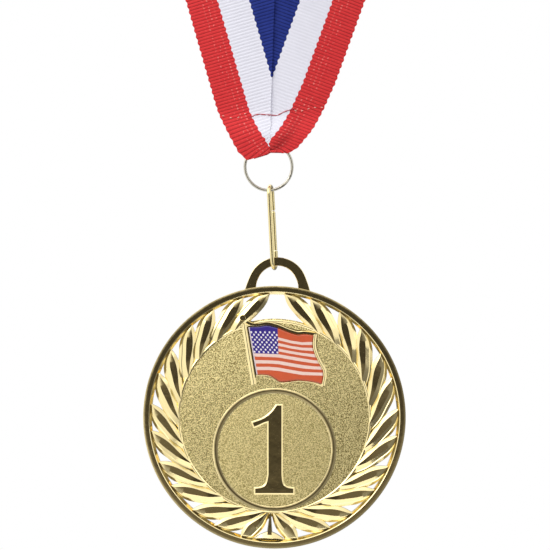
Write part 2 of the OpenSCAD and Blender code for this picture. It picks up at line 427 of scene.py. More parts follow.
rim = turned([(33.0, rim_back), (34.6, rim_back), (disc_r / MM, 1.2), (disc_r / MM, -1.3), (35.08, -1.45),
              (34.78, -1.525), (34.3, rim_front), (rim_flat_in, rim_front), (33.4, -1.5), (wall_foot_r, -0.3),
              (wall_foot_r, 1.45)], 256)
field = turned([(0, field_front), (25.5, field_front), (25.75, -0.32), (field_r, -0.1),
                (26.3, 0.1), (26.3, 1.3), (25.9, rim_back), (0, rim_back)], 192)
field_lip = turned([(25.25, -0.4), (25.52, -0.56), (25.66, -0.56), (25.95, -0.4), (25.95, 0), (25.25, 0)], 192)

bead = turned([(bead_r + aside, depth) for aside, depth in (
    (bead_half, 0), (bead_half, field_front), (bead_crest, field_front - bead_stand),
    (-bead_crest, field_front - bead_stand), (-bead_half, field_front), (-bead_half, 0))], 160, bead_mid)

# The numeral: a stem with a stroke at its head and a foot that flows into it
stem_left, stem_right = -2.0, 2.3
numeral_front = -0.68
numeral_bevel = 0.42
foot_curve_right = through([(stem_right, -15.3), (2.55, -17.4), (3.4, -18.4), (5.45, -18.75)], 9)
foot_curve_left = through([(-5.55, -18.75), (-3.4, -18.4), (-2.4, -17.4), (stem_left, -15.3)], 9)
head_curve = through([(0.4, 3.55), (-1.0, 1.65), (-3.2, -0.05), (-6.35, -1.2)], 9)
numeral_outline = [(-5.55, -20.75), (5.45, -20.75), *foot_curve_right[::-1], (stem_right, 3.55), *head_curve,
                   (-5.65, -3.1), (-3.9, -2.4), (-2.8, -1.85), (stem_left, -1.6), *foot_curve_left[::-1]]
numeral = raised([tuple(p) for p in numeral_outline], numeral_front, field_front + 0.02, numeral_bevel)

# The suspension loop: an arch of flat bar whose feet spread onto the rim
arch_outer = ((0.1, 34.8), 7.95)
arch_inner = ((0, 35.1), 5.4)
arch_foot = math.sin(math.radians(24))
bar_half_depth = 0.75
bar_bevel = 0.1
bar_flat = bar_half_depth - bar_bevel
arch_sections = []
for angle in np.radians(np.linspace(-13, 193, 65)):
    foot = max(0, arch_foot - math.sin(angle))
    out = np.array([math.cos(angle), math.sin(angle)])
    high = np.array(arch_outer[0]) + (arch_outer[1] + 3.2 * foot ** 2) * out
    low = np.array(arch_inner[0]) + (arch_inner[1] + 0.5 * foot) * out
    high_in, low_in = high - bar_bevel * out, low + bar_bevel * out
    arch_sections.append([(p[0], depth, p[1]) for p, depth in (
        (low_in, -bar_half_depth), (high_in, -bar_half_depth), (high, -bar_flat), (high, bar_flat),
        (high_in, bar_half_depth), (low_in, bar_half_depth), (low, bar_flat), (low, -bar_flat))])
arch = closed_loft(arch_sections)

# The flag's rolled top edge, its hem, its sill and its pole
roll_line = [(-7.8, 25.6), (-6, 24.8), (-4.4, 24.7), (-1.8, 25.0), (0.8, 24.35), (3.9, 23.1), (6.2, 22.45),
             (8.0, 22.55), (10.9, 22.2)]
hem_line = [(10.9, 22.2), (10.6, 19.7), (10.95, 17.5), (12.1, 14.8), (13.45, 11.9), (13.0, 8.4)]
sill_line = [(-4.9, 11.1), (-3, 11.2), (-0.9, 10.85), (1.4, 9.35), (3.5, 9.35), (6.2, 9.7), (8.9, 9.5),
             (11, 9.05), (13.0, 8.4)]
flag_roll = ridge(roll_line, 0.6, 0.24, crest=0.54)
flag_hem = ridge(hem_line, 0.58, 0.38)
flag_sill = ridge(sill_line, 0.3, 0.12)
pole = ridge([(-5.5, 8.7), (-6.9, 17.3), (-8.35, 26.2)], 0.68, 0.44)
# The polished bed that the print lies on shows as a dark line round it
bed_bevel = 0.05
flag_bed = raised([(x, z + 0.85) for x, z in roll_line[:-1]] + [(x + 0.72, z) for x, z in hem_line]
                  + [(x, z - 0.3) for x, z in sill_line[-2::-1]] + [(-5.8, 9.5), (-6.9, 15.5), (-8.6, 25.6)],
                  field_front - bed_bevel, field_front + bed_bevel, bed_bevel)

# The ball on top of the pole. Its flat front shows dark.
ball_mid = (-8.45, -0.75, 26.5)
ball_r = 0.85
ball_front = -1.15
ball_steps = np.linspace(0, math.pi, 13)
ball = rod([(*ball_mid[:2], ball_mid[2] - ball_r * math.cos(a)) for a in ball_steps],
           [0.02 + ball_r * math.sin(a) for a in ball_steps], 20)
finial = ([(x, max(depth, ball_front), z) for x, depth, z in ball[0]], ball[1])

gilt = finish("polished_gilt", polished_gilt)
stipple = finish("stippled_gilt", stippled_gilt)
figures = [(upright(shape), 0) for shape in (
    flag_bed, bead, numeral, flag_roll, flag_hem, flag_sill, pole, finial)]
casting_shells = [(rim, 0), (field, 1), (field_lip, 0), *figures[:3], (arch, 0), *figures[3:]]
casting = one_shell("medallion_casting", casting_shells, medal_place, [gilt, stipple])
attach(casting, "medal")
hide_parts("medallion")


# ----------------------------------------------------------------------
# The laurel wreath, part of the same casting: two branches of sharp-edged leaves that climb
# from the foot of the medallion to its top, each with a bright bevel above a flat face.
# ----------------------------------------------------------------------
leaf_stations = 17
leaf_back = 1.3
leaf_front = -1.15
leaf_root = -0.8
leaf_edge = -0.25
leaf_vein = 0.12
leaf_rake = 0.72
leaf_tilt = 0.14
leaf_reach = 33.3
# Edges of a leaf whose tip is at the foot of the rim: share of the way out, and degrees round
leaf_upper = [(0, -16), (0.29, -7.4), (0.62, -2.3), (1, 0)]
leaf_lower = [(0, -31), (0.37, -22.6), (0.63, -15.5), (0.86, -10.3), (0.985, -5.2), (1, 0)]
# The first leaf's turn from the foot, the step to the next, and how far every second one is set
# back, in degrees. The first leaf belongs to the foot, so the branch starts from the second.
leaf_first = 13.4
leaf_pitch = 13.63
leaf_stagger = 1.2
branch_leaves = 12
vein_at, vein_past = 0.78, 0.83


def from_polar(share, degrees):
    radius = field_r - 0.2 + share * (leaf_reach - field_r + 0.2)
    return np.array([radius * math.sin(math.radians(degrees)), -radius * math.cos(math.radians(degrees))])


def leaf_shape(upper_edge, lower_edge, tip=0):
    uppers = through([from_polar(share, a + tip) for share, a in upper_edge], leaf_stations)
    lowers = through([from_polar(share, a + tip) for share, a in lower_edge], leaf_stations)
    sections = []
    for n, (upper, lower) in enumerate(zip(uppers, lowers)):
        s = n / (leaf_stations - 1)
        middle = math.sin(math.pi * s) if 0 < s < 1 else 0
        crest = 0.44 - 0.25 * middle ** 0.7
        fold = 0.46 + 0.12 * middle ** 0.7
        width = float(np.linalg.norm(lower - upper))
        height = leaf_root + (leaf_front - leaf_root) * min(1, middle * 1.6)
        upper_foot = min(leaf_edge, height + leaf_rake * crest * width)
        tilt = leaf_tilt * s * (fold - crest)
        vein = height + (tilt + leaf_rake * 0.6 * (vein_at - fold)) * width
        lower_foot = min(leaf_edge, vein + leaf_rake * 0.17 * width)
        rise = [(0.0, upper_foot), (crest, height), (fold, height + tilt * width), (vein_at, vein),
                (vein_past, vein - leaf_vein), (1.0, lower_foot), (1.0, leaf_back), (0.0, leaf_back)]
        across = [(upper + (lower - upper) * v, depth) for v, depth in rise]
        sections.append([(spot[0], depth, spot[1]) for spot, depth in across])
    return closed_loft(sections)


def grown(name, tree_name, base, inputs, build):
    """Runs a Geometry Nodes tree over the object base and returns its result as a plain mesh."""
    tree = bpy.data.node_groups.new(tree_name, "GeometryNodeTree")
    tree.interface.new_socket("Geometry", in_out="INPUT", socket_type="NodeSocketGeometry")
    names = {}
    for label, (kind, value) in inputs.items():
        socket = tree.interface.new_socket(label, in_out="INPUT", socket_type=kind)
        names[socket.identifier] = value
    tree.interface.new_socket("Geometry", in_out="OUTPUT", socket_type="NodeSocketGeometry")
    desk = Desk(tree)
    entry = desk.tree.nodes.new("NodeGroupInput")
    given = {socket.name: Wire(desk, socket) for socket in entry.outputs if socket.name}
    desk.node("NodeGroupOutput", None, {"Geometry": build(desk, given)})
    modifier = base.modifiers.new(tree_name, "NODES")
    modifier.node_group = tree
    for identifier, value in names.items():
        modifier[identifier] = value
    graph = bpy.context.evaluated_depsgraph_get()
    made = bpy.data.objects.new(name, bpy.data.meshes.new_from_object(base.evaluated_get(graph)))
    bpy.context.scene.collection.objects.link(made)
    bpy.data.objects.remove(base)
    return made


def wreath_tree(desk, given):
    spots = desk.node("GeometryNodeMeshLine", None, {"Count": given["Leaves"], "Offset": (0.0, 0.0, 0.0)})
    index = desk.node("GeometryNodeInputIndex")
    odd = index.maths("MODULO", index, 2.0)
    angle = given["First"] + given["Pitch"] * index + given["Stagger"] * odd
    turn = desk.node("ShaderNodeCombineXYZ", None, {"Y": 0 - angle})
    leaves = desk.node("GeometryNodeInstanceOnPoints", None,
                       {"Points": spots, "Instance": given["Geometry"], "Rotation": turn})
    branch = desk.node("GeometryNodeRealizeInstances", None, {"Geometry": leaves})
    mirrored = desk.node("GeometryNodeTransform", None, {"Geometry": branch, "Scale": (-1.0, 1.0, 1.0)})
    outward = desk.node("GeometryNodeFlipFaces", None, {0: mirrored})
    both = desk.node("GeometryNodeJoinGeometry", None, {"Geometry": branch})
    desk.tree.links.new(outward.socket, both.socket.node.inputs[0])
    return desk.node("GeometryNodeSetMaterial", None, {"Geometry": both, "Material": given["Finish"]})


leaf = one_shell("leaf", [(leaf_shape(leaf_upper, leaf_lower), 0)], Matrix.Identity(4), [gilt])
wreath = grown("laurel_wreath", "wreath", leaf, {
    "Leaves": ("NodeSocketInt", branch_leaves),
    "First": ("NodeSocketFloat", math.radians(leaf_first + leaf_pitch + leaf_stagger)),
    "Pitch": ("NodeSocketFloat", math.radians(leaf_pitch)),
    "Stagger": ("NodeSocketFloat", math.radians(-leaf_stagger)),
    "Finish": ("NodeSocketMaterial", gilt)}, wreath_tree)
wreath.data.transform(medal_place)
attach(wreath, "medal")

# The foot of the wreath: two upright leaves, a spear between them and a low mound below. It was
# cut a degree or so askew.
foot_turn = math.radians(1.2)
foot_upper = [(0, -9.5), (0.25, -4.2), (0.47, -1.2), (0.75, 0.2), (1, 0)]
foot_lower = [(0, -13), (0.47, -10.6), (0.8, -7.5), (0.97, -5), (1, 0)]
foot_leaf = leaf_shape(foot_upper, foot_lower, leaf_first)
foot_mirror = [(-x, y, z) for x, y, z in foot_leaf[0]], foot_leaf[1]
spear_sections = []
for s in np.linspace(0, 1, 7):
    half = 0.16 + 0.65 * s
    z = -25.5 - 6.0 * s
    spear_sections.append([(-half, 0.2, z), (-0.75 * half, -0.95, z), (0.75 * half, -0.95, z), (half, 0.2, z),
                           (half, leaf_back, z), (-half, leaf_back, z)])
mound_half = 3.7
mound_sections = []
for s in np.linspace(-1, 1, 17):
    swell = 1 - abs(s) ** 1.5
    mound_sections.append([(mound_half * s, depth, z) for depth, z in (
        (0.3, -33.2), (-0.6 - 0.25 * swell, -32.9), (-0.7 - 0.55 * swell, -32.6 + 0.35 * swell),
        (-0.5 - 0.1 * swell, -32.4 + 1.7 * swell), (0.3, -32.3 + 1.7 * swell), (leaf_back, -32.3 + 1.7 * swell),
        (leaf_back, -33.2))])
knot = one_shell("wreath_foot", [(foot_leaf, 0), (foot_mirror, 0), (closed_loft(spear_sections), 0),
                                 (closed_loft(mound_sections), 0)],
                 medal_place @ Matrix.Rotation(foot_turn, 4, "Y"), [gilt])
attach(knot, "medal")


# ----------------------------------------------------------------------
# The printed flag: a thin glossy print laid inside the raised edge. Its stripes and its dotted
# canton wave with the cloth that it shows.
# ----------------------------------------------------------------------
print_depth = -0.62
print_t = 0.18
print_top = [(-6.95, 24.0), (-4.5, 24.05), (-1.8, 24.35), (0.7, 23.75), (3.85, 22.55), (6.2, 21.85), (8.0, 22.0),
             (10.35, 21.8)]
print_fly = [(12.6, 8.9), (12.9, 12.0), (11.55, 14.95), (10.4, 17.6), (10.1, 19.7), (10.35, 21.8)]
print_foot = [(-4.8, 11.4), (-3.0, 11.45), (-0.9, 11.1), (1.45, 9.65), (3.55, 9.65), (6.2, 9.95), (8.9, 9.75),
              (11.0, 9.35), (12.6, 8.9)]
print_hoist = [(-4.8, 11.4), (-5.9, 17.7), (-6.95, 24.0)]
hoist_at = [z for _, z in print_hoist], [x for x, _ in print_hoist]
# Where the lowest, the middle and the highest white stripe begin, along the flag
stripe_low = [-5.2, -1.5, 1.5, 4.4, 7.4, 12.8], [12.55, 12.6, 12.3, 11.75, 11.25, 11.1]
stripe_mid = [-5.7, 1.0, 10.5, 12.0], [17.1, 16.85, 15.2, 15.1]
stripe_high = [-6.5, 1.0, 4.4, 7.4, 9.8], [21.45, 21.35, 20.45, 20.0, 20.1]
# The map of the print measures millimetres from the hoist and a count of stripes from the foot
print_span = 20
stripe_span = 16
canton_foot = 6
canton_w = 6.85
dot_left, dot_step = 0.25, 0.607
dot_low, dot_rise = 6.11, 0.888


def stripe_count(x, z):
    """How many stripes lie below a point of the print."""
    low, mid, high = (np.interp(x, *line) for line in (stripe_low, stripe_mid, stripe_high))
    return float(np.interp(z, [low - 0.82, low, mid, high, high + 3.08], [0, 1, 6, 12, 16]))


def quad(i, j, columns):
    """One face of a net with so many columns of faces, in its place i across and j up."""
    a = j * (columns + 1) + i
    return a, a + 1, a + columns + 2, a + columns + 1


def lay_map(made, name, marks):
    """A UV map that gives every point its own mark."""
    layer = made.data.uv_layers.new(name=name)
    for loop in made.data.loops:
        layer.data[loop.index].uv = marks[loop.vertex_index]


def flag_sheet(columns, rows):
    """The print as a net between the flag's four edges, with its own UV map."""
    top = through(print_top, columns + 1)
    foot = through(print_foot, columns + 1)
    hoist = through(print_hoist, rows + 1)
    fly = through(print_fly, rows + 1)
    points, marks = [], []
    for j in range(rows + 1):
        for i in range(columns + 1):
            u, v = i / columns, j / rows
            corner = ((1 - u) * (1 - v) * foot[0] + u * (1 - v) * foot[-1] + (1 - u) * v * top[0] + u * v * top[-1])
            spot = (1 - v) * foot[i] + v * top[i] + (1 - u) * hoist[j] + u * fly[j] - corner
            ripple = 0.05 * math.sin(2 * math.pi * (1.25 * u + 0.1))
            points.append((spot[0], print_depth + ripple, spot[1]))
            from_hoist = spot[0] - np.interp(spot[1], *hoist_at)
            marks.append((from_hoist / print_span, stripe_count(*spot) / stripe_span))
    faces = [quad(i, j, columns) for j in range(rows) for i in range(columns)]
    made = as_mesh("flag_enamel", *upright((points, faces)), medal_place)
    lay_map(made, "flag", marks)
    return made


def flag_inks(desk):
    """Seven red and six white stripes, a blue canton with staggered white dots, under gloss."""
    u, v, _ = desk.split(desk.node("ShaderNodeUVMap", {"uv_map": "flag"}))
    blot = desk.noise(desk.here(), 900.0, 3.0)
    across, height = u * print_span, v * stripe_span
    band = (height + (blot - 0.5) * 0.1).least(12.8).most(0.2) / 2
    white = abs(band.part() - 0.75).ramp(0.27, 0.23)
    canton = (across < (height - canton_foot) * 0.1 + canton_w) * (height > canton_foot)
    edge = across < 0.3
    along = (across - dot_left) / dot_step
    up = (height - dot_low) / dot_rise
    stagger = (along.whole() + up.whole()).maths("MODULO", along.whole() + up.whole(), 2.0)
    spot = ((along.part() - 0.5) ** 2.0 + (up.part() - 0.5) ** 2.0) ** 0.5
    dot = spot.ramp(0.48, 0.34) * (stagger < 0.5) * (up < 9.0) * (up > 0.0)
    stripe_ink = desk.blend(white, (0.70, 0.125, 0.05, 1), (0.98, 0.74, 0.66, 1))
    canton_ink = desk.blend(dot, (0.045, 0.028, 0.27, 1), (0.92, 0.88, 0.95, 1))
    ink = desk.blend(canton, stripe_ink, canton_ink)
    ink = desk.blend(edge, ink, (0.72, 0.62, 0.66, 1))
    worn = desk.shaded(ink, desk.blend(blot, (0.86, 0.86, 0.86, 1), (1, 1, 1, 1)))
    return desk.surface(worn, 0.28 + blot * 0.1, {
        "Normal": desk.bump(0.15, 0.03, blot), "Coat Weight": 0.35, "Coat Roughness": 0.08})


flag_print = flag_sheet(56, 40)
flag_print.data.materials.append(finish("flag_inks", flag_inks))
solid = flag_print.modifiers.new("thickness", "SOLIDIFY")
solid.thickness = print_t * MM
solid.offset = 0
flag_print.data.shade_smooth()
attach(flag_print, "medal")
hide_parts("flag_print")


# ----------------------------------------------------------------------
# The neck ribbon: ribbed rayon in red, white and blue, its two straps mitred into a V. Worn
# round a neck it lies flat on a cone, and the cone laid out flat makes it a straight strip.
# ----------------------------------------------------------------------
ribbon_w = 24.6
ribbon_half = 366
strap_angle = math.radians(18)
ribbon_lean = math.radians(1.9)
cone_sin = 0.4
cone_cos = math.sqrt(1 - cone_sin ** 2)
half_turn = math.pi / 2 - strap_angle
line_d = ribbon_half / math.tan(half_turn)
meet_r = ribbon_half / math.sin(half_turn)
fold_r = meet_r + 7.5
stitch_r = fold_r - 12.6
rib_pitch = 0.86
rib_lift = 0.035
cloth_t = 0.45
overlap = 1.3
scallop = 0.14
stripe = ribbon_w / 3
pouch_depth = 2.2
# The creased line that runs down the right strap below the stitching, in from its outer selvedge.
# It is dented into the cloth, and also painted darker there: painted shade.
crease_in = 5.2
crease_w = 0.8
crease_depth = 0.45
# How far the cloth draws in at the fold, and how much more at its very corner
draw_in, corner_in = 0.32, 0.12
# Lift of the left strap and of the right one where they meet, and how far from there it fades
lap_over, lap_under = 0.32, -0.28
lap_fade = 2.2
pouch_length = 8.5
tuck_settle = 4


def on_cone(turn, radius, lift):
    """A point of the cone, from the angle round it as laid out flat, the distance from its top
    and the lift off its face. The back of the neck is the frame's origin."""
    azimuth = turn / cone_sin
    axis = np.array([0, cone_sin, -cone_cos])
    back = np.array([0, cone_cos, cone_sin])
    out = np.outer(np.sin(azimuth), (1, 0, 0)) - np.outer(np.cos(azimuth), back)
    spot = radius[:, None] * (cone_cos * axis + cone_sin * out) + lift[:, None] * (cone_cos * out - cone_sin * axis)
    spot -= line_d * (cone_cos * axis + cone_sin * back)
    lean = np.array([[math.cos(ribbon_lean), 0, -math.sin(ribbon_lean)], [0, 1, 0],
                     [math.sin(ribbon_lean), 0, math.cos(ribbon_lean)]])
    return spot @ lean


def below_stitching(radius):
    """How far down the folded end a point lies: 0 at its stitching, and 1 at the fold."""
    return np.clip((radius - stitch_r) / (fold_r - stitch_r), 0, 1.05)


def selvedge(radius):
    """Distance of the outer selvedge from the middle of the V. It draws in below the stitching."""
    flat = (half_turn - np.arccos(np.minimum(1, (line_d + ribbon_w / 2) / radius))) * radius
    down = below_stitching(radius)
    corner = np.clip((down - 0.85) / 0.17, 0, 1)
    return flat, flat * (1 - draw_in * down ** 1.75 - corner_in * corner ** 2)


def corner_sag(aside, radius):
    """The left corner of the fold hangs low and the right half rides up."""
    sag = np.interp(aside, [-5.9, -0.3, 0.1, 3, 6], [1.1, -0.85, -1.3, -1.35, -1.0])
    return sag * np.clip(below_stitching(radius) * 1.7 - 0.7, 0, 1)


def pouch(radius):
    """How far the cloth stands forward where it passes over the ring."""
    s = np.clip((radius - stitch_r) / pouch_length, 0, 1)
    return pouch_depth * s * s * (3 - 2 * s)


def strap_grid(half):
    """The flat strip, cut to the mitre and to the fold at both ends, as a mesh of (t, w) points."""
    work = bmesh.new()
    rows = int(2 * half / (rib_pitch / 4))
    columns = 10
    ts = (np.arange(rows + 1) - rows / 2) * rib_pitch / 4
    ws = np.linspace(-ribbon_w / 2, ribbon_w / 2, columns + 1)
    net = [[work.verts.new((t, w, 0)) for w in ws] for t in ts]
    for i in range(rows):
        for j in range(columns):
            work.faces.new((net[i][j], net[i + 1][j], net[i + 1][j + 1], net[i][j + 1]))
    for side, under in ((-1, 0.0), (1, overlap)):
        slant = Vector((math.cos(half_turn) * side, -math.sin(half_turn), 0))
        down = Vector((math.sin(half_turn) * side, math.cos(half_turn), 0))
        top = Vector((0, -line_d, 0))
        for spot, facing in ((top + slant * under, slant), (top + down * (fold_r + 0.3), down)):
            parts = work.verts[:] + work.edges[:] + work.faces[:]
            bmesh.ops.bisect_plane(work, geom=parts, plane_co=spot, plane_no=facing, clear_outer=True)
    return work


def strap_lift(aside, radius, left):
    """How far the cloth stands off the cone. The left strap laps over the right at the mitre."""
    near = np.exp(-np.abs(aside) / lap_fade) * np.clip((radius - 330) / 20, 0, 1)
    return pouch(radius) + np.where(left, lap_over, lap_under) * near


def hang_ribbon():
    work = strap_grid(ribbon_half + 30)
    t, w = np.array([v.co[:2] for v in work.verts]).T
    edge = np.abs(w) > ribbon_w / 2 - 0.01
    wide = w + np.where(edge, np.sign(w) * scallop * np.cos(math.pi * t / rib_pitch), 0)
    left = t < 0
    radius = np.hypot(t, line_d + wide)
    inward = (half_turn - np.abs(np.arctan2(t, line_d + wide))) * radius
    outer, drawn = selvedge(radius)
    down = below_stitching(radius)
    pulled = np.where(left, 0, 0.8 * np.clip((radius - stitch_r + 7) / 9, 0, 1))
    reach = drawn - (outer - inward) - pulled
    tucked = np.clip(np.where(left, 0, -overlap) - reach, 0, None) * (down > 0)
    aside = np.sign(t) * (reach + tucked)
    crease = np.exp(-((outer - inward - crease_in) / crease_w) ** 2) * down * ~left
    rib = np.cos(2 * math.pi * t / rib_pitch)
    worn = 0.25 * np.sin(t / 37.0) * np.clip(1 - radius / 360, 0, 1)
    lift = strap_lift(inward, radius, left) - np.clip(0.25 * tucked, 0, 0.8)
    lift = lift + rib_lift * rib - crease_depth * crease + worn
    points = on_cone(aside / radius, radius + corner_sag(aside, radius), lift)
    work.verts.index_update()
    faces = [[v.index for v in f.verts] for f in work.faces]
    work.free()
    made = as_mesh("neck_ribbon_cloth", points, faces)
    lay_map(made, "weave", np.column_stack([w, t]) / ribbon_w)
    # The same profile is stored on the mesh, where it darkens the dye: painted shade along the creased line.
    made.data.attributes.new("crease", "FLOAT", "POINT").data.foreach_set("value", crease)
    return made


def ribbon_dyes(desk):
    """Three dyed bands whose borders step in and out with the ribs, with painted shade in the groove
    between ribs, fine threads along them, and painted shade along the right strap's creased line."""
    across, along, _ = desk.split(desk.node("ShaderNodeUVMap", {"uv_map": "weave"}))
    place = desk.here()
    # The creased line's profile, which halves the dye's brightness: painted shade.
    crease = desk.node("ShaderNodeAttribute", {"attribute_name": "crease"}, output=2)
    w = across * ribbon_w
    ribs = along * (ribbon_w / rib_pitch)
    round_rib = (ribs * (math.pi * 2) + math.pi / 2).sine()
    # The hollows between ribs, which are painted darker below: painted shade.
    groove = round_rib.ramp(-0.1, -0.95)
    blot = desk.noise(place, 420.0, 3.0)
    uneven = desk.noise(place, 1500.0, 1.0)
    inner = w - stripe / 2
    fleck = desk.noise(place, 2300.0, 0.0).ramp(0.52, 0.62) * inner.ramp(0.2, 1.0) * inner.ramp(6.0, 3.0)
    fleck = fleck * (inner * 5.0).sine().ramp(0.3, 0.8) * round_rib.ramp(-0.2, 0.6)
    yarn = (w * 26.0 + ribs * math.pi).sine()
    step = (ribs * math.pi + math.pi / 2).sine() * scallop
    red = (w + step).ramp(stripe / 2 - 0.05, stripe / 2 + 0.05)
    blue = (w - step).ramp(0.05 - stripe / 2, -0.05 - stripe / 2)
    plain = 1 - (red + blue).least(1.0)
    white_dye = desk.blend(blot, (0.81, 0.815, 0.92, 1), (0.87, 0.875, 0.98, 1))
    red_dye = desk.blend(blot, (0.67, 0.033, 0.040, 1), (0.80, 0.052, 0.054, 1))
    blue_dye = desk.blend(blot, (0.012, 0.026, 0.20, 1), (0.028, 0.050, 0.30, 1))
    red_dye = desk.blend(fleck * 0.55, red_dye, (0.95, 0.34, 0.30, 1))
    dye = desk.blend(red, desk.blend(blue, white_dye, blue_dye), red_dye)
    # How strongly each band takes the painted shade of the grooves; of the white, only the left strap's does.
    depth = (red * 0.42 + blue * 0.55 + plain * (along < 0) * 0.07) * (0.45 + uneven * 1.1)
    # Painted shade: dark in the grooves between ribs, faintly darker with the threads, and halved along the creased
    # line.
    shade = (1 - groove * depth - (yarn * 0.5 + 0.5) * 0.05) * (1 - crease * 0.5)
    # The dyes darkened by that painted shade.
    dye_with_painted_shade = desk.shaded(dye, desk.node("ShaderNodeCombineXYZ", None, {0: shade, 1: shade, 2: shade}))
    height = round_rib * (0.7 - plain * (0.65 - (along < 0) * 0.4)) + yarn * 0.25 + blot * 0.3
    return desk.surface(dye_with_painted_shade, 0.6 + blot * 0.16, {
        "Normal": desk.bump(0.3, 0.06, height), "Specular IOR Level": 0.12})


dyes = finish("ribbon_dyes", ribbon_dyes)


def cloth_wall(piece):
    """Gives a cloth surface the thickness of its weave, as part of its mesh."""
    work = bmesh.new()
    work.from_mesh(piece.data)
    bmesh.ops.delete(work, geom=[v for v in work.verts if not v.link_faces], context="VERTS")
    bmesh.ops.remove_doubles(work, verts=work.verts, dist=0.001 * MM)
    bmesh.ops.recalc_face_normals(work, faces=work.faces)
    work.to_mesh(piece.data)
    work.free()
    wall = piece.modifiers.new("wall", "SOLIDIFY")
    wall.thickness = cloth_t * MM
    wall.offset = 0
    graph = bpy.context.evaluated_depsgraph_get()
    solid_mesh = bpy.data.meshes.new_from_object(piece.evaluated_get(graph))
    piece.modifiers.clear()
    piece.data = solid_mesh
    piece.data.materials.append(dyes)
    piece.data.shade_smooth()
    piece.data.set_sharp_from_angle(angle=math.radians(50))


ribbon = hang_ribbon()
cloth_wall(ribbon)
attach(ribbon, "ribbon")
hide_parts("neck_ribbon")


# ----------------------------------------------------------------------
# The folded end of the ribbon: it passes under the top of the ring and runs up behind, where
# the same line of stitching holds it. The fold is a little askew, lower at its left corner.
# ----------------------------------------------------------------------
bridge_half = 4.2


def tuck_ribbon():
    """The turn under the ring, which only the middle of the cloth makes, and the back of the fold."""
    columns = 24
    foot = float(selvedge(np.array([fold_r]))[1][0])
    stations = [(fold_r + pouch_depth * math.sin(a) * 0.12, pouch_depth * math.cos(a), False)
                for a in np.linspace(0, math.pi, 13)]
    for rise in np.linspace(0, fold_r - stitch_r + 2.2, 30):
        settle = min(1, max(0, (rise - tuck_settle) / pouch_length))
        stations.append((fold_r - rise, -pouch_depth * (1 - settle ** 1.5) - 0.95 * settle, True))
    radius, lift, wide = np.array([[value] * (columns + 1) for value in stations]).transpose(2, 0, 1)
    half = np.where(wide > 0, selvedge(radius)[1] * 0.98, foot)
    x = np.linspace(-1, 1, columns + 1) * half
    x = np.where(x > 0, x * (1 - 1.1 / half), x)
    inside = (np.abs(x) < bridge_half) | (wide > 0)
    points = on_cone((x / radius).ravel(), (radius + corner_sag(x, radius)).ravel(), lift.ravel())
    faces = [quad(i, j, columns) for j in range(len(stations) - 1) for i in range(columns)
             if inside[j, i] and inside[j, i + 1]]
    made = as_mesh("ribbon_tuck", points, faces)
    w = ribbon_w / 2 - 0.87 * (half - np.abs(x)).ravel()
    lay_map(made, "weave", np.column_stack([w, radius.ravel()]) / ribbon_w)
    return made


tuck = tuck_ribbon()
cloth_wall(tuck)
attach(tuck, "ribbon")
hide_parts("ribbon_fold")


# ----------------------------------------------------------------------
# The stitching: red thread, one crooked row that sews the fold across the V, and a row down the
# back that joins the two straps along their mitre.
# ----------------------------------------------------------------------
thread_r = 0.15


def stitch_tree(desk, given):
    curve = desk.node("GeometryNodeMeshToCurve", None, {0: given["Geometry"]})
    spots = desk.node("GeometryNodeCurveToPoints", {"mode": "LENGTH"}, {"Curve": curve, "Length": given["Pitch"]})
    turn = Wire(desk, spots.socket.node.outputs["Rotation"])
    stitch = desk.node("GeometryNodeMeshUVSphere", None, {"Segments": 10, "Rings": 7, "Radius": given["Radius"]})
    shape = desk.node("ShaderNodeCombineXYZ", None, {0: 1.0, 1: 1.0, 2: given["Stretch"]})
    long = desk.node("GeometryNodeTransform", None, {"Geometry": stitch, "Scale": shape})
    row = desk.node("GeometryNodeInstanceOnPoints", None, {"Points": spots, "Instance": long, "Rotation": turn})
    real = desk.node("GeometryNodeRealizeInstances", None, {"Geometry": row})
    return desk.node("GeometryNodeSetMaterial", None, {"Geometry": real, "Material": given["Finish"]})


def thread_dye(desk):
    twist = desk.noise(desk.here(), 5200.0)
    colour = desk.blend(twist, (0.30, 0.015, 0.03, 1), (0.60, 0.06, 0.09, 1))
    return desk.surface(colour, 0.45 + twist * 0.2, {"Normal": desk.bump(0.4, 0.05, twist), "Sheen Weight": 0.2})


thread = finish("thread_dye", thread_dye)


# The tacks are the same red thread as the cross stitching, painted pale pink: a painted highlight on the raised
# thread.
def tack_dye(desk):
    twist = desk.noise(desk.here(), 4200.0)
    colour = desk.blend(twist, (0.62, 0.10, 0.09, 1), (1.0, 0.62, 0.52, 1))
    return desk.surface(colour, 0.5 + twist * 0.2)


def sew(name, rows, pitch, node, dyed=thread, stretch=6.0):
    """Rows of stitches, each a route of (aside, distance below the stitching line, lift). A lift
    of 0 lays the thread on the front of the cloth."""
    spots, edges = [], []
    for row in rows:
        aside, below, lift = through(row, 60).T
        radius = stitch_r + below
        front = strap_lift(aside, radius, aside < 0) + cloth_t / 2 + 0.1
        edges += [(n + len(spots), n + 1 + len(spots)) for n in range(len(aside) - 1)]
        spots += list(on_cone(aside / radius, radius, np.where(lift == 0, front, lift)))
    path = as_mesh("path", spots, [])
    path.data.clear_geometry()
    path.data.from_pydata([tuple(p * MM) for p in spots], edges, [])
    made = grown(name, name, path, {
        "Pitch": ("NodeSocketFloat", pitch * MM), "Radius": ("NodeSocketFloat", thread_r * MM),
        "Stretch": ("NodeSocketFloat", stretch), "Finish": ("NodeSocketMaterial", dyed)}, stitch_tree)
    made.data.shade_smooth()
    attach(made, "ribbon")
    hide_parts(node)


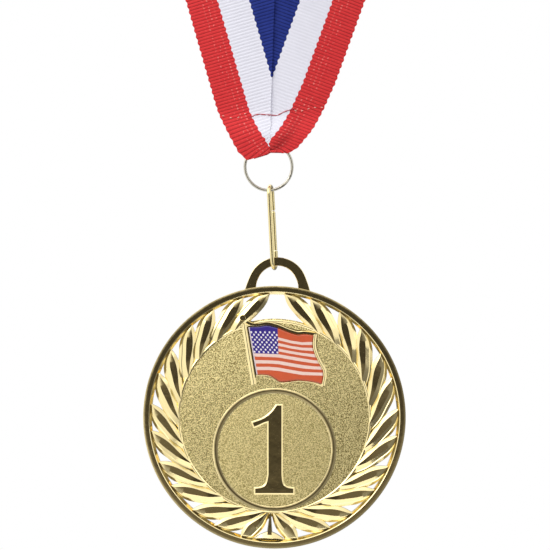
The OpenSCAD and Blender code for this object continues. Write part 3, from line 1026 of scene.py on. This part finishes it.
cross_row = [(-5.1, 2.4, 0), (-4.0, 1.8, 0), (-2.6, 1.6, 0), (0.5, 1.7, 0), (1.9, 1.6, 0), (3.6, 0.7, 0), (5.6, 0, 0)]
left_tacks = [(-12.6, 2.5, 0), (-9.4, 3.0, 0), (-6.8, 1.6, 0)]
right_tacks = [(6.6, 0.3, 0), (7.6, 0.5, 0), (9.2, 0.1, 0), (11, -0.5, 0), (13.6, -0.6, 0)]
mitre_row = [(0.5, -2.5, -0.75), (0.5, -15, -0.75), (0.5, -29, -0.75)]
sew("cross_stitching", [cross_row], 1.5, "fold_stitches")
# The tacks take the thread's pale painted highlight.
sew("selvedge_tacks", [left_tacks, right_tacks], 1.6, "fold_stitches", finish("tack_dye", tack_dye), 2.2)
sew("mitre_stitching", [mitre_row], 2.5, "mitre_stitches")


# ----------------------------------------------------------------------
# The split ring: two close turns of nickel-plated wire. Each turn's free end lies beside the
# short stretch where the wire crosses from the front turn to the back one.
# ----------------------------------------------------------------------
ring_low, ring_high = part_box("split_ring")
ring_mid = (ring_low + ring_high) / 2
ring_wire_r = 0.4
ring_coil_r = (ring_high.x - ring_low.x) / 2 / MM - ring_wire_r
ring_end = math.radians(-27)
ring_cross = math.radians(30)


def ring_shape():
    steps = 360
    turn = 2 * math.pi - ring_cross
    path, radii = [], []
    for n in range(steps + 1):
        done = (2 * turn + ring_cross) * n / steps
        share = np.clip((done - turn) / ring_cross, 0, 1)
        depth = ring_wire_r * (2 * share * share * (3 - 2 * share) - 1)
        angle = ring_end + done
        path.append((ring_coil_r * math.cos(angle), depth, ring_coil_r * math.sin(angle)))
        end = min(n, steps - n)
        radii.append(ring_wire_r * (0.985 if end > 1 else 0.55 + 0.3 * end))
    return rod(path, radii, 14)


def nickel(desk):
    drawn = desk.noise(desk.here(), 1400.0, 3.0)
    colour = desk.blend(drawn, (0.46, 0.44, 0.36, 1), (0.62, 0.60, 0.52, 1))
    return desk.surface(colour, 0.2 + drawn * 0.12, {"Metallic": 1.0, "Normal": desk.bump(0.08, 0.02, drawn)})


ring = one_shell("split_ring_wire", [(ring_shape(), 0)], Matrix.Translation(ring_mid), [finish("nickel", nickel)])
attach(ring, "ring")
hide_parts("split_ring")


# ----------------------------------------------------------------------
# The clip: gilt spring wire bent into a long loop, turned nearly edge-on. Its front leg is
# whole, and its rear leg holds the gate between a stub above and a crimped sleeve below.
# ----------------------------------------------------------------------
clip_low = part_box("clip_frame")[0]
wire_r = 0.525
clip_gauge = 2.3
clip_turn = math.radians(90 - 12)
clip_lean = math.radians(-2.9)
clip_length = 23
clip_place = (Matrix.Translation((disc_mid.x, disc_mid.y, clip_low.z + wire_r * MM))
              @ Matrix.Rotation(clip_lean, 4, "Y") @ Matrix.Rotation(clip_turn, 4, "Z"))
head_z = clip_length - 2 * wire_r
gate_top = 15.4
gate_foot = gate_top - 10.6
gate_gap = 0.1


def clip_path():
    """The wire's middle line, from the stub above the gate over the top and round to the sleeve."""
    half_circle = np.linspace(0, math.pi, 25)[1:-1]
    high = head_z - clip_gauge
    top = [(clip_gauge, 0, z) for z in np.linspace(gate_top + gate_gap, high, 12)]
    bend = [(clip_gauge * math.cos(a), 0, high + clip_gauge * math.sin(a)) for a in half_circle]
    down = [(-clip_gauge, 0, z) for z in np.linspace(high, clip_gauge, 40)]
    foot = [(-clip_gauge * math.cos(a), 0, clip_gauge - clip_gauge * math.sin(a)) for a in half_circle]
    up = [(clip_gauge, 0, z) for z in np.linspace(clip_gauge, gate_foot - gate_gap, 8)]
    return top + bend + down + foot + up


def gilt_wire(desk):
    drawn = desk.noise(desk.here(), 1100.0, 3.0)
    colour = desk.blend(drawn, (0.66, 0.56, 0.28, 1), (0.80, 0.70, 0.40, 1))
    return desk.surface(colour, 0.16 + drawn * 0.12, {"Metallic": 1.0, "Normal": desk.bump(0.1, 0.03, drawn)})


wire_finish = finish("gilt_wire", gilt_wire)
clip_points = clip_path()
clip_radii = [wire_r * 0.82, *[wire_r] * (len(clip_points) - 2), wire_r * 0.82]
clip_wire = rod(clip_points, clip_radii, 20)
sleeve_top = gate_foot - gate_gap
sleeve = rod([(clip_gauge, 0, sleeve_top - drop) for drop in (1.9, 1.75, 0.15, 0)],
             [wire_r + 0.01, wire_r + 0.1, wire_r + 0.1, wire_r + 0.01], 24)
clip = one_shell("clip_wire", [(clip_wire, 0), (sleeve, 0)], clip_place, [wire_finish])
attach(clip, "clip")
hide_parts("clip_frame")

gate_stations = [gate_foot, gate_foot + 0.12, gate_foot + 0.13, *np.linspace(gate_foot + 0.8, gate_top - wire_r, 8)]
gate_radii = [wire_r * 0.8] + [wire_r] * 10
for a in np.linspace(0, math.pi / 2, 7)[1:]:
    gate_stations.append(gate_top - wire_r + wire_r * math.sin(a))
    gate_radii.append(max(0.01, wire_r * math.cos(a)))
gate = one_shell("clip_gate_wire", [(rod([(clip_gauge, 0, z) for z in gate_stations], gate_radii, 20), 0)],
                 clip_place, [wire_finish])
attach(gate, "gate")
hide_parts("clip_gate")
